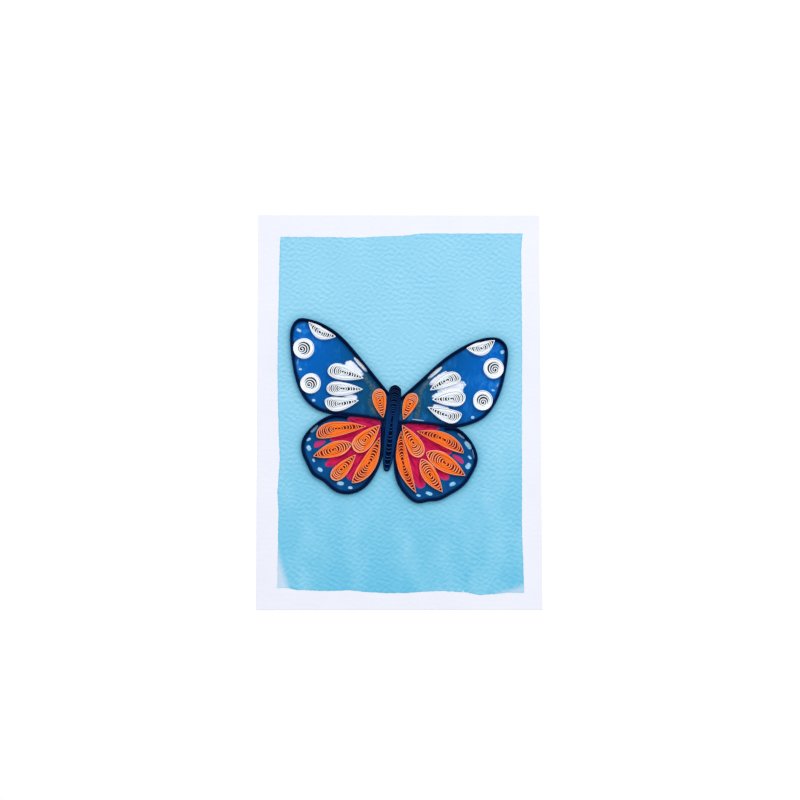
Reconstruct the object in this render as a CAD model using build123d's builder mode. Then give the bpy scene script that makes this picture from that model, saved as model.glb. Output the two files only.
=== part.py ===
"""Butterfly of rolled paper strip, glued on a card with painted wings.

The card lies face up: +Z is up, +Y is the top of the picture and +X its right-hand side.
The origin is the middle of the card's back face. Lengths are in millimetres.
"""
import os
from math import cos, pi, sin

from build123d import *

os.makedirs("parts", exist_ok=True)

# Card and the bare border round its painted field
card_width = 127.0
card_length = 177.8
card_thickness = 0.5
border_left = 9.6
border_right = 8.3
border_top = 9.4
border_bottom = 8.0

# Paint: sky first, wings and body over it, past the paper strips by the overrun
paint_thickness = 0.1
paint_overrun = 0.3

# Paper strip standing on edge, and the rims bent from it round the wings
strip_height = 3.0
rim_thickness = 0.8
rim_end_gap = 0.2
rim_facets = 36

# Rolls: the strip's wall as modelled is a few thin turns pressed together
roll_wall = 0.45
roll_seam_gap = 0.15
roll_turns = 3
round_facets = 14
pinched_facets = 12
eye_scale = 0.2

# How hard an end of a roll is pinched: half is a round end, one a sharp fold
plain = 0.5
soft = 0.75
sharp = 1.0

# Body roll: lower and upper end, reach to left and right, pinch of both ends, place of its eye
body_heel = (-5.7, -27.2)
body_tip = (-1.6, 11.0)
body_left = 2.75
body_right = 2.9
body_heel_pinch = 0.3
body_tip_pinch = 0.14
body_eye_share = 0.32
body_facets = 16

# Heights of the painted faces
card_top = card_thickness
sky_top = card_top + paint_thickness
wing_top = sky_top + paint_thickness

# Brushed edges of the sky: share of the way along a side, and reach past the border line
top_wobble = [(0.00, -0.6), (0.31, -1.4), (0.53, 0.2), (0.63, 1.1)]
right_wobble = [(0.00, 0.7), (0.05, -0.1), (0.12, -0.1), (0.88, -0.4)]
bottom_wobble = [(0.00, 0.4), (0.15, 1.1), (0.24, 1.1), (0.57, 0.0), (0.83, -0.9), (0.88, -0.4), (0.94, -1.5)]
left_wobble = [(0.00, 0.4), (0.11, -0.1), (0.27, 0.0), (0.88, 0.1)]

# Inner faces of the rims, drawn anticlockwise, and the way back through the middle of the
# butterfly that closes each painted wing
rims = {
    "forewing_left": [
        (-4.6, 6.4), (-11.0, 14.3), (-21.2, 26.9), (-28.0, 33.9), (-34.7, 38.1), (-41.1, 40.2),
        (-44.9, 40.2), (-47.2, 37.5), (-47.9, 32.0), (-47.0, 22.4), (-45.0, 13.0), (-42.7, 7.5),
        (-38.9, 2.9), (-34.0, 0.2), (-26.3, -1.2), (-16.4, -2.4), (-5.0, -4.3),
    ],
    "forewing_right": [
        (-1.5, -5.2), (14.1, -5.9), (24.9, -6.8), (32.2, -5.2), (37.7, -2.3), (40.9, 1.3),
        (44.5, 8.5), (46.4, 15.4), (47.8, 23.9), (47.4, 28.5), (44.8, 31.2), (41.0, 31.8),
        (34.4, 30.3), (27.6, 27.0), (21.4, 22.9), (11.2, 13.8), (0.6, 4.4),
    ],
    "hindwing_left": [
        (-23.0, -3.6), (-28.6, -2.9), (-34.5, -5.2), (-39.9, -9.8), (-42.5, -14.4), (-42.5, -18.5),
        (-39.9, -24.6), (-37.7, -28.4), (-33.4, -31.1), (-29.6, -34.5), (-26.4, -36.2), (-22.1, -36.6),
        (-16.3, -34.2), (-11.2, -27.7), (-8.5, -20.8), (-7.7, -13.0), (-7.7, -4.0),
    ],
    "hindwing_right": [
        (0.8, -5.0), (-0.5, -12.8), (-1.3, -18.3), (-1.4, -24.9), (0.2, -32.5), (4.0, -37.9),
        (8.6, -40.7), (12.4, -40.0), (17.2, -39.5), (21.8, -37.3), (27.6, -33.6), (32.2, -27.2),
        (34.0, -22.0), (33.1, -17.7), (29.3, -11.9), (25.4, -9.0), (20.5, -8.6),
    ],
}
ways_back = {
    "forewing_left": [(-3.2, -3.5)],
    "forewing_right": [(-3.2, -3.5)],
    "hindwing_left": [(-4.0, -5.0), (-5.0, -2.0), (-22.0, 1.0)],
    "hindwing_right": [(20.0, -4.0), (2.0, -3.0), (-3.0, -5.0)],
}

# Brush strokes laid into the wing paint, each an outline
rose_strokes = {
    "left": [
        [(-22.9, -3.2), (-17.1, -3.2), (-8.3, -4.6), (-8.5, -5.7), (-14.6, -7.4), (-21.1, -4.8)],
        [(-31.8, -12.8), (-14.8, -7.5), (-21.1, -13.4), (-27.8, -13.8)],
        [(-38.1, -16.8), (-37.9, -14.9), (-36.5, -13.7), (-32.6, -13.5), (-33.4, -14.9), (-36.2, -16.8)],
        [(-32.9, -23.7), (-32.4, -25.2), (-30.9, -24.9), (-19.3, -19.4), (-20.6, -17.0), (-26.4, -20.5)],
        [(-23.1, -30.7), (-21.5, -31.3), (-17.0, -23.2), (-12.6, -17.0), (-18.4, -18.7), (-22.4, -27.7)],
    ],
    "right": [
        [(4.0, -6.6), (16.9, -7.2), (17.1, -8.0), (11.1, -9.5), (6.6, -8.9)],
        [(9.3, -12.0), (23.1, -18.5), (22.2, -19.3), (12.0, -17.4), (10.6, -14.3)],
        [(23.5, -20.6), (24.3, -19.6), (26.8, -20.6), (28.7, -22.5), (28.9, -23.8), (27.8, -24.2)],
        [(11.5, -20.5), (12.9, -21.0), (22.0, -29.9), (21.4, -31.3), (19.5, -30.6), (16.9, -27.3)],
        [(3.5, -18.4), (9.0, -22.2), (11.3, -33.8), (9.9, -34.9), (8.0, -33.7), (5.2, -23.8)],
    ],
}
white_strokes = {
    "left": [
        [(-23.5, 21.2), (-21.9, 21.9), (-20.1, 21.6), (-15.9, 16.9), (-17.3, 16.5), (-21.2, 18.7)],
        [(-20.1, 23.4), (-19.2, 23.6), (-14.1, 17.6), (-14.6, 17.2)],
        [(-26.2, 5.9), (-23.0, 6.5), (-19.7, 6.3), (-19.6, 5.4), (-20.5, 4.7)],
    ],
    "right": [
        [(14.1, 14.0), (19.3, 17.2), (15.1, 12.9)],
        [(18.2, 9.7), (27.1, 12.9), (29.5, 10.8), (27.5, 9.1), (20.4, 8.5)],
        [(15.0, 5.5), (15.2, 6.9), (19.7, 8.1)],
        [(15.6, 2.2), (16.7, 2.6), (21.9, 1.1)],
        [(12.6, 14.8), (19.0, 19.5), (19.5, 19.0), (13.9, 14.9)],
    ],
}

# Pale dabs of a small flat brush: middle, length, width and angle
pale_dabs = {
    "forewing_left": [
        (-44.9, 36.1, 2.3, 1.4, -30), (-44.2, 18.5, 1.5, 0.9, 0), (-38.2, 4.5, 1.6, 1.2, 0),
    ],
    "forewing_right": [
        (46.4, 26.3, 2.0, 1.6, 25), (42.2, 9.0, 1.7, 0.9, -15), (32.9, -3.2, 1.6, 1.3, 0),
    ],
    "hindwing_left": [
        (-38.4, -10.0, 5.0, 1.3, 50), (-40.4, -13.1, 2.1, 1.2, 35), (-40.3, -17.0, 2.6, 1.9, -60),
        (-38.2, -22.4, 1.7, 1.0, -60), (-35.3, -26.6, 2.6, 1.7, -35), (-26.2, -32.8, 3.1, 1.7, -3),
        (-21.8, -34.7, 2.0, 1.2, -5),
    ],
    "hindwing_right": [
        (27.7, -11.6, 3.8, 0.9, -38), (30.8, -15.7, 4.5, 1.9, -55), (31.5, -21.2, 2.0, 1.1, -45),
        (30.8, -25.0, 2.9, 2.4, 50), (23.7, -33.1, 3.0, 1.7, 25), (13.3, -37.3, 3.1, 1.6, -20),
        (8.6, -38.2, 2.0, 1.0, -12),
    ],
}

# Round rolls: middle and diameter
round_rolls = {
    "white_round_upper_left": ((-42.7, 27.7), 9.3),
    "white_round_lower_left": ((-39.6, 11.9), 9.1),
    "white_round_upper_right": ((42.2, 18.6), 9.1),
    "white_round_lower_right": ((37.3, 4.2), 8.9),
}

# Pinched rolls: heel, tip, reach to the left and right of the line from heel to tip,
# and the pinch of heel and tip
pinched_rolls = {
    "white_leaf_left": ((-40.5, 39.4), (-28.4, 32.9), 1.0, 4.3, sharp, sharp),
    "white_drop_upper_left": ((-31.9, 17.6), (-16.0, 14.2), 4.3, 2.8, plain, sharp),
    "white_drop_middle_left": ((-32.4, 9.5), (-16.3, 9.2), 3.3, 3.1, plain, sharp),
    "white_drop_lower_left": ((-33.2, 3.8), (-18.1, 4.1), 1.9, 4.6, plain, sharp),
    "orange_drop_left": ((-9.3, 9.3), (-7.2, -3.6), 2.9, 3.3, plain, sharp),
    "white_leaf_right": ((30.3, 27.6), (43.0, 31.2), 1.2, 4.9, sharp, sharp),
    "white_drop_upper_right": ((27.5, 14.5), (13.8, 8.9), 2.0, 4.3, plain, sharp),
    "white_drop_middle_right": ((29.6, 5.8), (14.7, 4.6), 4.0, 3.0, plain, sharp),
    "white_drop_lower_right": ((27.9, -2.2), (12.7, 1.1), 5.1, 1.2, plain, sharp),
    "orange_drop_right": ((7.2, 7.1), (1.8, -4.5), 2.6, 3.3, plain, sharp),
    "petal_1_left": ((-36.8, -12.1), (-14.8, -7.5), 5.1, 1.7, plain, sharp),
    "petal_2_left": ((-21.2, -15.3), (-38.3, -20.9), 3.5, 3.3, soft, sharp),
    "petal_3_left": ((-19.9, -18.4), (-8.6, -6.9), 4.1, 3.8, plain, sharp),
    "petal_4_left": ((-29.9, -31.1), (-19.4, -20.2), 3.0, 3.2, plain, sharp),
    "petal_5_left": ((-21.0, -32.8), (-8.6, -12.5), 1.6, 5.2, soft, sharp),
    "petal_1_right": ((28.6, -19.5), (7.9, -9.7), 1.2, 4.8, soft, sharp),
    "petal_2_right": ((12.1, -19.2), (29.4, -29.6), 4.2, 3.6, soft, sharp),
    "petal_3_right": ((9.8, -21.0), (1.3, -6.9), 3.6, 3.6, plain, sharp),
    "petal_4_right": ((9.9, -22.2), (19.2, -36.9), 2.8, 3.9, soft, sharp),
    "petal_5_right": ((7.4, -37.2), (0.8, -9.8), 5.3, 0.4, sharp, sharp),
}


def brushed_side(start, end, wobble):
    """Points along one side of the sky, pushed out or in by the brush."""
    side = Vector(end) - Vector(start)
    outward = Vector(-side.Y, side.X).normalized()
    return [Vector(start) + side * share + outward * reach for share, reach in wobble]


def wing_edge(wing, reach):
    """Evenly spaced points along a rim's inner face, moved square to it and outwards by the reach."""
    curve = Spline(*rims[wing], mode=Mode.PRIVATE)
    edge = []
    for step in range(rim_facets + 1):
        tangent = curve % (step / rim_facets)
        edge.append(curve @ (step / rim_facets) + Vector(tangent.Y, -tangent.X) * reach)
    return edge


def wing_area(wing, reach):
    """A wing's whole area, past the inner face of its rim by the reach."""
    with BuildSketch() as area:
        with BuildLine():
            Polyline(*wing_edge(wing, reach), *ways_back[wing], close=True)
        make_face()
    return area.sketch


def side_share(angle, heel_pinch, tip_pinch):
    """Share of a roll's length at an angle, 1 at angle 0 and 0 at half a turn.

    The harder an end is pinched, the longer the facets that run into it.
    """
    share = min(max((1 + cos(angle)) / 2, 0), 1)
    from_heel = share ** (plain / max(heel_pinch, plain))
    from_tip = (1 - share) ** (plain / max(tip_pinch, plain))
    return from_heel / (from_heel + from_tip)


def side_height(share, heel_pinch, tip_pinch):
    """Height of a roll's side at a share u of its length, 1 at the widest place w.

    (u / w) ** a * ((1 - u) / (1 - w)) ** b, with a and b the pinches and w = a / (a + b).
    """
    widest = heel_pinch / (heel_pinch + tip_pinch)
    return (share / widest) ** heel_pinch * ((1 - share) / (1 - widest)) ** tip_pinch


def roll_point(angle, length, left, right, heel_pinch, tip_pinch):
    """Point of a roll's outline at an angle, which is 0 at the tip and half a turn at the heel."""
    share = side_share(angle, heel_pinch, tip_pinch)
    height = side_height(share, heel_pinch, tip_pinch)
    height *= left if sin(angle) > 0 else -right
    return Vector(share * length, height)


def roll_path(length, left, right, heel_pinch, tip_pinch, eye_share, facets):
    """Middle line of the rolled strip, in the roll's own frame with the heel at 0 and +X to the tip.

    Each turn is the outline drawn smaller about the eye. The first turn keeps its size as far as
    the tip and then steps in under its own end, and the inner turns grow rounder.
    """
    half_wall = roll_wall / 2
    reach = length - roll_wall * (0.5 + tip_pinch)
    left_height = left - half_wall
    right_height = right - half_wall
    eye = Vector(eye_share * reach, (left_height - right_height) / 2)
    seam = roll_point(pi / 2, reach, left_height, right_height, heel_pinch, tip_pinch)
    second_scale = 1 - (roll_wall + roll_seam_gap) / (seam.Y - eye.Y)
    closed_at = 0.75
    points = []
    for step in range(roll_turns * facets + 1):
        turned = step / facets
        if turned <= closed_at:
            scale = 1
        elif turned <= 1:
            scale = 1 - (1 - second_scale) * (turned - closed_at) / (1 - closed_at)
        else:
            scale = second_scale - (second_scale - eye_scale) * (turned - 1) / (roll_turns - 1)
        still_pinched = min(scale / second_scale, 1)
        heel_now = plain + (heel_pinch - plain) * still_pinched
        tip_now = plain + (tip_pinch - plain) * still_pinched
        angle = pi / 2 + 2 * pi * turned
        outline = roll_point(angle, reach, left_height, right_height, heel_now, tip_now)
        points.append(eye + (outline - eye) * scale + Vector(half_wall, 0))
    return points


def strip_outline(path):
    """Both faces of a strip of roll_wall thickness along a path, mitred at the folds."""
    headings = [(end - start).normalized() for start, end in zip(path, path[1:])]
    arriving = [headings[0]] + headings
    leaving = headings + [headings[-1]]
    left_face = []
    right_face = []
    for point, before, after in zip(path, arriving, leaving):
        across = Vector(-before.Y - after.Y, before.X + after.X) / (1 + before.dot(after))
        left_face.append(point + across * (roll_wall / 2))
        right_face.append(point - across * (roll_wall / 2))
    return left_face + right_face[::-1]


def roll_plane(heel, tip, height):
    """The roll's own frame at a height, with +X from heel to tip."""
    along = Vector(tip) - Vector(heel)
    return Plane(origin=(*heel, height), x_dir=along, z_dir=(0, 0, 1))


def make_roll(name, heel, tip, left, right, heel_pinch, tip_pinch, eye_share, facets):
    """A rolled strip standing on the wing paint."""
    length = (Vector(tip) - Vector(heel)).length
    path = roll_path(length, left, right, heel_pinch, tip_pinch, eye_share, facets)
    with BuildPart() as roll:
        with BuildSketch(roll_plane(heel, tip, wing_top)):
            with BuildLine():
                Polyline(*strip_outline(path), close=True)
            make_face()
        extrude(amount=strip_height)
    roll.part.label = name
    export_step(roll.part, f"parts/{name}.step")


def make_paint(name, area, base):
    """A field of paint on the face at the height of its base."""
    with BuildPart() as paint:
        with BuildSketch(Plane.XY.offset(base)):
            add(area)
        extrude(amount=paint_thickness)
    paint.part.label = name
    export_step(paint.part, f"parts/{name}.step")


def stroke_area(outlines):
    """Brush strokes drawn by their outlines."""
    with BuildSketch() as strokes:
        for outline in outlines:
            with BuildLine():
                Polyline(*outline, close=True)
            make_face()
    return strokes.sketch


def dab_area(wing):
    """The pale dabs of one wing, each a stretched hexagon."""
    with BuildSketch() as dabs:
        for x, y, length, width, angle in pale_dabs[wing]:
            half = [(length / 2, 0), (length / 4, width / 2), (-length / 4, width / 2)]
            with Locations(Location((x, y), angle)):
                Polygon(*half, *[(-u, -v) for u, v in half], align=None)
    return dabs.sketch


def body_area(reach):
    """The body roll's outline, past the roll by the reach."""
    length = (Vector(body_tip) - Vector(body_heel)).length + 2 * reach
    left = body_left + reach
    right = body_right + reach
    outline = []
    for step in range(body_facets):
        angle = 2 * pi * step / body_facets
        point = roll_point(angle, length, left, right, body_heel_pinch, body_tip_pinch)
        outline.append(point - Vector(reach, 0))
    with BuildSketch(roll_plane(body_heel, body_tip, 0)) as body:
        with BuildLine():
            Polyline(*outline, close=True)
        make_face()
    return body.sketch


# Card
with BuildPart() as card:
    Box(card_width, card_length, card_thickness, align=(Align.CENTER, Align.CENTER, Align.MIN))
card.part.label = "card"
export_step(card.part, "parts/card.step")

# Sky paint, clockwise from the top left corner
left = border_left - card_width / 2
right = card_width / 2 - border_right
top = card_length / 2 - border_top
bottom = border_bottom - card_length / 2
with BuildSketch() as sky:
    with BuildLine():
        Polyline(
            *brushed_side((left, top), (right, top), top_wobble),
            *brushed_side((right, top), (right, bottom), right_wobble),
            *brushed_side((right, bottom), (left, bottom), bottom_wobble),
            *brushed_side((left, bottom), (left, top), left_wobble),
            close=True,
        )
    make_face()
make_paint("sky_paint", sky.sketch, card_top)

# Body and wing paint: the fields meet edge to edge and the strokes and dabs are laid into them
painted_body = body_area(paint_overrun)
make_paint("body_paint", painted_body, sky_top)
for side in ("left", "right"):
    forewing = wing_area(f"forewing_{side}", rim_thickness + paint_overrun) - painted_body
    hindwing = wing_area(f"hindwing_{side}", rim_thickness + paint_overrun) - painted_body - forewing
    for wing, area, outlines in (("forewing", forewing, white_strokes), ("hindwing", hindwing, rose_strokes)):
        strokes = stroke_area(outlines[side]) & area
        dabs = dab_area(f"{wing}_{side}") & area
        make_paint(f"{wing}_{side}_strokes", strokes, sky_top)
        make_paint(f"{wing}_{side}_dabs", dabs, sky_top)
        make_paint(f"{wing}_{side}_paint", area - strokes - dabs, sky_top)

# Rims: strip on edge, cut back from the body, and the hindwings' from the forewings' rims
for wing in rims:
    with BuildPart() as rim:
        with BuildSketch(Plane.XY.offset(wing_top)):
            with BuildLine():
                Polyline(*wing_edge(wing, 0), *wing_edge(wing, rim_thickness)[::-1], close=True)
            make_face()
            add(body_area(rim_end_gap), mode=Mode.SUBTRACT)
            if wing.startswith("hindwing"):
                for forewing in ("forewing_left", "forewing_right"):
                    add(wing_area(forewing, rim_thickness + rim_end_gap), mode=Mode.SUBTRACT)
        extrude(amount=strip_height)
    rim.part.label = f"{wing}_rim"
    export_step(rim.part, f"parts/{wing}_rim.step")

# Rolls
for name, (middle, diameter) in round_rolls.items():
    radius = diameter / 2
    heel = (middle[0] - radius, middle[1])
    tip = (middle[0] + radius, middle[1])
    make_roll(name, heel, tip, radius, radius, plain, plain, 0.5, round_facets)
for name, (heel, tip, left_reach, right_reach, heel_pinch, tip_pinch) in pinched_rolls.items():
    eye_share = side_share(pi / 2, heel_pinch, tip_pinch)
    make_roll(name, heel, tip, left_reach, right_reach, heel_pinch, tip_pinch, eye_share, pinched_facets)
make_roll(
    "body_roll", body_heel, body_tip, body_left, body_right,
    body_heel_pinch, body_tip_pinch, body_eye_share, body_facets,
)
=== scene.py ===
"""Quilled paper butterfly on a painted card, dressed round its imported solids."""
from math import radians

import bmesh
import bpy
import numpy as np
from mathutils import Matrix, Vector


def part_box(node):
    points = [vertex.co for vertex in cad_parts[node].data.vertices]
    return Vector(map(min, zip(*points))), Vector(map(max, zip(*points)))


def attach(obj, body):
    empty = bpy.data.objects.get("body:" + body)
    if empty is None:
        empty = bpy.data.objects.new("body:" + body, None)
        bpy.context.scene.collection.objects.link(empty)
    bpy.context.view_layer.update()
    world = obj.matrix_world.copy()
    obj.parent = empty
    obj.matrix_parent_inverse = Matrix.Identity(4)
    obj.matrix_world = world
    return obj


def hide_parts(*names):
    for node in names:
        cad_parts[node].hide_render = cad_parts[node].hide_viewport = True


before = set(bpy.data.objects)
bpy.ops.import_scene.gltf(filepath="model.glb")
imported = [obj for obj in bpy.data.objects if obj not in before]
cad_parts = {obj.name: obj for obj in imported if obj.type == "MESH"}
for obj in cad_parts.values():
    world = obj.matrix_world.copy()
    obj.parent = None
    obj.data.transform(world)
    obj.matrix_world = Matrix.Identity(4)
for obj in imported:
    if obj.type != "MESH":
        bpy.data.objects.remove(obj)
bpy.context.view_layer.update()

# Card: one sheet of 300 g cold-press watercolour paper, left bare at its border and on its
# back. Felts pressed a soft tooth into it while wet, in low ripples a few millimetres long.
mm = 0.001
tooth_depth = 0.14
tooth_waves = 48
tooth_length = (1.2, 2.8)
slanting_share = 0.45
slanting_heading = (60, 18)
straight_heading = (92, 30)
card_pitch = 0.65
sharp_edge = 35


def linear(hex_colour):
    """An sRGB hex colour as linear red, green, blue and a full alpha."""
    srgb = np.array([int(hex_colour[start:start + 2], 16) for start in (1, 3, 5)]) / 255
    values = np.where(srgb <= 0.04045, srgb / 12.92, ((srgb + 0.055) / 1.055) ** 2.4)
    return (*values, 1.0)


def add_node(material, kind, inputs=None, **settings):
    """Adds a node, sets it, and fills its inputs with values or with other nodes' outputs."""
    node = material.node_tree.nodes.new(kind)
    for name, value in settings.items():
        setattr(node, name, value)
    for name, value in (inputs or {}).items():
        if isinstance(value, bpy.types.NodeSocket):
            material.node_tree.links.new(value, node.inputs[name])
        else:
            node.inputs[name].default_value = value
    return node


def matt(name, roughness, specular):
    """A new material, its shader set to a dull surface, and the object's own coordinates."""
    material = bpy.data.materials.new(name)
    material.use_nodes = True
    shader = material.node_tree.nodes["Principled BSDF"]
    shader.inputs["Roughness"].default_value = roughness
    shader.inputs["Specular IOR Level"].default_value = specular
    place = add_node(material, "ShaderNodeTexCoord").outputs["Object"]
    return material, shader, place


def tooth(x, y):
    """The paper's relief from 0 to 1: a sum of sine waves of random lengths and phases in two
    sets, one with its crests straight across the sheet and one slanting down to the right. The
    sum h is made calm near its middle as h |h| ** 0.6, stronger and weaker in patches one to
    two and a half centimetres wide, and squeezed by a tanh."""
    random = np.random.default_rng(5)
    length = random.uniform(*tooth_length, tooth_waves)
    slanting = random.uniform(size=tooth_waves) < slanting_share
    heading = np.radians(np.where(
        slanting,
        random.normal(*slanting_heading, tooth_waves),
        random.normal(*straight_heading, tooth_waves),
    ))
    phase = random.uniform(0, 2 * np.pi, tooth_waves)
    height = np.zeros_like(x)
    for wave in range(tooth_waves):
        along = x * np.cos(heading[wave]) + y * np.sin(heading[wave])
        height += np.sin(2 * np.pi * along / length[wave] + phase[wave])
    height /= np.sqrt(tooth_waves / 2)
    patches = 1.0 + 0.4 * np.sin(x / 2.9 + 0.21 * y) * np.sin(y / 2.3 - 0.17 * x + 1.0)
    patches += 0.25 * np.sin(x / 7.1 + 0.13 * y) + 0.25 * np.sin(y / 8.3 - 0.09 * x + 1.0)
    return 0.5 + 0.5 * np.tanh(height * np.abs(height) ** 0.6 * 0.9 * patches)


def quad_grid(rows, columns, wrap):
    """Corners of the quads of a grid of points; with wrap, the last column joins the first."""
    index = np.arange(rows * columns).reshape(rows, columns)
    ahead = np.roll(index, -1, axis=1)
    if not wrap:
        index, ahead = index[:, :-1], ahead[:, :-1]
    return np.stack([index[:-1], ahead[:-1], ahead[1:], index[1:]], axis=-1).reshape(-1, 4)


def make_mesh(name, points, quads, ngons, **attributes):
    """A mesh of points in millimetres, closed by quads and by ngons, with point attributes."""
    mesh = bpy.data.meshes.new(name)
    mesh.from_pydata(points * mm, [], quads.tolist() + [ngon.tolist() for ngon in ngons])
    for label, values in attributes.items():
        layer = mesh.attributes.new(label, "FLOAT", "POINT")
        layer.data.foreach_set("value", values.astype(np.float32))
    shell = bmesh.new()
    shell.from_mesh(mesh)
    bmesh.ops.recalc_face_normals(shell, faces=shell.faces)
    shell.to_mesh(mesh)
    shell.free()
    mesh.shade_smooth()
    mesh.set_sharp_from_angle(angle=radians(sharp_edge))
    piece = bpy.data.objects.new(name, mesh)
    bpy.context.scene.collection.objects.link(piece)
    return piece


def finish_piece(piece, material, slot, *nodes):
    """Gives a piece its material and its place in the frame. The slot is not used."""
    piece.data.materials.append(material)
    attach(piece, "root")
    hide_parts(*nodes)


def make_sheet(name, x, y, top, bottom, **attributes):
    """A closed sheet over a grid of places: a top surface, straight sides and a flat bottom."""
    rows, columns = x.shape
    index = np.arange(rows * columns).reshape(rows, columns)
    edge = np.concatenate([index[0, :-1], index[:-1, -1], index[-1, :0:-1], index[:0:-1, 0]])
    foot = rows * columns + np.arange(len(edge))
    upper = np.column_stack([x.ravel(), y.ravel(), top.ravel()])
    lower = upper[edge]
    lower[:, 2] = bottom
    sides = np.column_stack([edge, np.roll(edge, -1), np.roll(foot, -1), foot])
    quads = np.vstack([quad_grid(rows, columns, False), sides])
    spread = {
        label: np.append(values.ravel(), values.ravel()[edge]) for label, values in attributes.items()
    }
    return make_mesh(name, np.vstack([upper, lower]), quads, [foot], **spread)


def lay_coats(material, colour, coats, blend="MIX"):
    """Lays coats over a colour in turn. Each coat is a value, the two limits between which it
    comes to cover from nothing to the most, that most, and the coat's own colour."""
    for value, low, high, most, tone in coats:
        cover = add_node(
            material, "ShaderNodeMapRange",
            {"Value": value, "From Min": low, "From Max": high, "To Max": most},
        )
        coat = add_node(
            material, "ShaderNodeMix", {0: cover.outputs["Result"], 6: colour, 7: linear(tone)},
            data_type="RGBA", blend_type=blend,
        )
        colour = coat.outputs[2]
    return colour


def paper_face(material, shader, place, colour, grain, depth):
    """Gives paper its colour and a fine fibre relief, its grain and depth in millimetres."""
    material.node_tree.links.new(colour, shader.inputs["Base Color"])
    fibre = add_node(
        material, "ShaderNodeTexNoise", {"Vector": place, "Scale": 1 / (grain * mm), "Detail": 4.0},
    )
    bump = add_node(
        material, "ShaderNodeBump",
        {"Height": fibre.outputs["Fac"], "Distance": depth * mm, "Strength": 1.0},
    )
    material.node_tree.links.new(bump.outputs["Normal"], shader.inputs["Normal"])


# Cold-press cotton paper is a dull, faintly cool white, with fibres that catch the light.
card_paper, shader, place = matt("cold_press_watercolour_paper", 0.92, 0.25)
cloud = add_node(
    card_paper, "ShaderNodeTexNoise", {"Vector": place, "Scale": 1 / (14 * mm), "Detail": 3.0},
)
colour = lay_coats(card_paper, linear("#E4E7F2"), [(cloud.outputs["Fac"], 0.0, 1.0, 1.0, "#EAEDF7")])
paper_face(card_paper, shader, place, colour, grain=0.5, depth=0.04)

card_low, card_high = (np.array(corner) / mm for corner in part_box("card"))
card_x, card_y = np.meshgrid(
    np.linspace(card_low[0], card_high[0], int((card_high[0] - card_low[0]) / card_pitch)),
    np.linspace(card_low[1], card_high[1], int((card_high[1] - card_low[1]) / card_pitch)),
)
card = make_sheet(
    "watercolour_card", card_x, card_y, card_high[2] - tooth_depth * tooth(card_x, card_y), card_low[2]
)
finish_piece(card, card_paper, "card_paper", "card")

# Sky: opaque light blue gouache brushed over the middle of the card. Its sides waver with the
# brush and the paper's tooth shows through it. It pooled a little deeper along its sides, and is
# thin and dry at the lower corners. Round the wings it carries a painted shadow of the rims.
sky_pitch = 0.5
sky_edge_fade = 1.2
sky_bottom = 0.42
halo_width = 2.0
bristle_cycles = (11, 23, 37, 61, 90)
bristle_reach = 0.16
sky_low, sky_high = (np.array(corner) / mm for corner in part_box("sky_paint"))
border = {"left": 9.6, "right": 8.3, "top": 9.4, "bottom": 8.0}
top_wobble = [
    (0.00, -0.7), (0.12, -0.7), (0.33, -1.0), (0.42, -0.4), (0.50, -0.2), (0.59, 1.0),
    (0.70, 0.9), (1.00, 1.0),
]
right_wobble = [
    (0.00, 0.7), (0.05, 0.0), (0.33, 0.1), (0.55, -0.3), (0.69, -0.4), (0.82, -0.6),
    (0.88, -0.3), (1.00, 0.2),
]
bottom_wobble = [
    (0.00, 0.7), (0.06, 0.6), (0.14, 1.3), (0.18, 1.6), (0.24, 0.4), (0.33, -0.2), (0.39, 0.0),
    (0.49, 0.7), (0.56, 0.7), (0.63, 0.3), (0.71, -0.6), (0.79, -0.2), (0.92, -0.7),
    (0.96, -1.6), (1.00, -1.4),
]
left_wobble = [
    (0.00, 0.4), (0.14, 0.0), (0.22, -0.1), (0.27, 0.4), (0.36, -0.6), (0.43, -0.1),
    (0.54, 0.4), (0.63, 0.6), (0.72, 0.5), (0.81, 0.2), (0.93, 0.0), (1.00, -0.4),
]


def brushed(share, wobble, seed):
    """How far a brushed side reaches at shares of its length: drawn offsets joined by straight
    lines, and a little bristle noise, a sum of sines."""
    shares, reaches = np.array(wobble).T
    random = np.random.default_rng(seed)
    noise = np.zeros_like(share)
    for cycles in bristle_cycles:
        noise += np.sin(2 * np.pi * (cycles * share + random.uniform())) / len(bristle_cycles)
    return np.interp(share, shares, reaches) + bristle_reach * noise


across, up = np.meshgrid(
    np.linspace(0, 1, int((sky_high[0] - sky_low[0]) / sky_pitch)),
    np.linspace(0, 1, int((sky_high[1] - sky_low[1]) / sky_pitch)),
)
west = card_low[0] + border["left"] - brushed(up, left_wobble, 1)
east = card_high[0] - border["right"] + brushed(1 - up, right_wobble, 2)
south = card_low[1] + border["bottom"] - brushed(1 - across, bottom_wobble, 3)
north = card_high[1] - border["top"] + brushed(across, top_wobble, 4)
sky_x = west + (east - west) * across
sky_y = south + (north - south) * up
inset = np.minimum.reduce([sky_x - west, east - sky_x, sky_y - south, north - sky_y])
coat = np.clip(inset / sky_edge_fade, 0, 1) ** 0.5
sky_top = card_high[2] + (sky_high[2] - card_high[2]) * coat - tooth_depth * tooth(sky_x, sky_y)
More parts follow.
